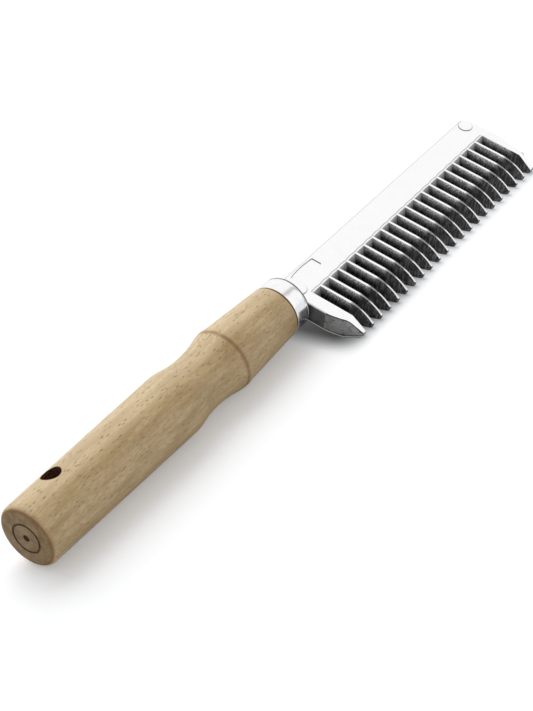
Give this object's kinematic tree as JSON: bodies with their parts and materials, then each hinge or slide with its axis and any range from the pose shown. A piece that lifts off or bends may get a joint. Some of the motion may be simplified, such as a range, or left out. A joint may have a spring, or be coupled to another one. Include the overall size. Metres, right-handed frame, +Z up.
{
  "type": "mane comb with wooden handle",
  "caption": "Cast metal mane comb with straight pointed teeth on a flat spine, joined by a metal ferrule to a turned wooden handle with a hanging hole.",
  "frame": {"origin": "middle of the footprint, on the table that the comb lies on", "axes": "+X along the handle towards the far end of the comb, +Z up; the teeth point to -Y and down, as the comb rests on its handle's collar and its end teeth"},
  "size_m": [0.2242, 0.0332, 0.0202],
  "materials": {
    "cast_metal": "polished faces, as cast between the teeth",
    "plated_metal": "bright plated",
    "beech": "satin, waxed"
  },
  "bodies": {
    "root": {"comb_casting": "cast_metal", "tang": "cast_metal", "ferrule": "plated_metal", "handle": "beech"}
  },
  "joints": []
}
